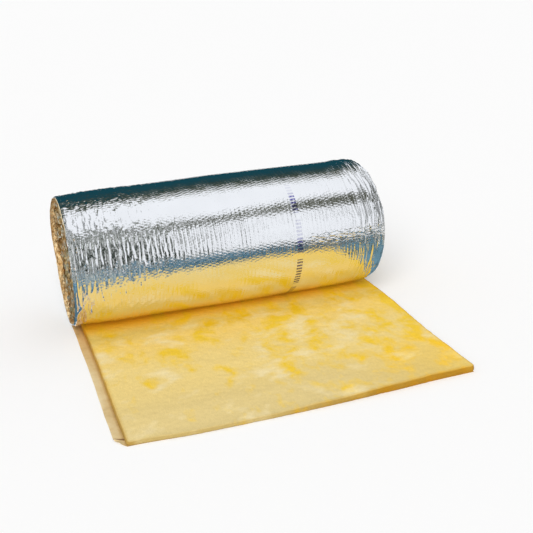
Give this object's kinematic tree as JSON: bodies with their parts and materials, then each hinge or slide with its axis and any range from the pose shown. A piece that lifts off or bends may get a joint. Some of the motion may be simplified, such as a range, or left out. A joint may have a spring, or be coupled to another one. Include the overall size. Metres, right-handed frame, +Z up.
{
  "type": "insulation roll",
  "caption": "Part-unrolled roll of yellow glass wool blanket with a crinkled foil facing outside, a bare stapling flange along one edge and a round winding eye.",
  "frame": {"origin": "centre of the whole part's footprint on the floor", "axes": "+X along the roll's axis, towards the end without a flange; -Y the way the free end is unrolled; +Z up"},
  "size_m": [1.232, 1.15, 0.53],
  "materials": {
    "glass_wool": "matt felted fibre, mottled yellow",
    "foil": "crinkled reinforced foil outside, tan kraft paper inside"
  },
  "bodies": {
    "root": {"glass_wool_blanket": "glass_wool", "foil_facing": "foil"}
  },
  "joints": []
}
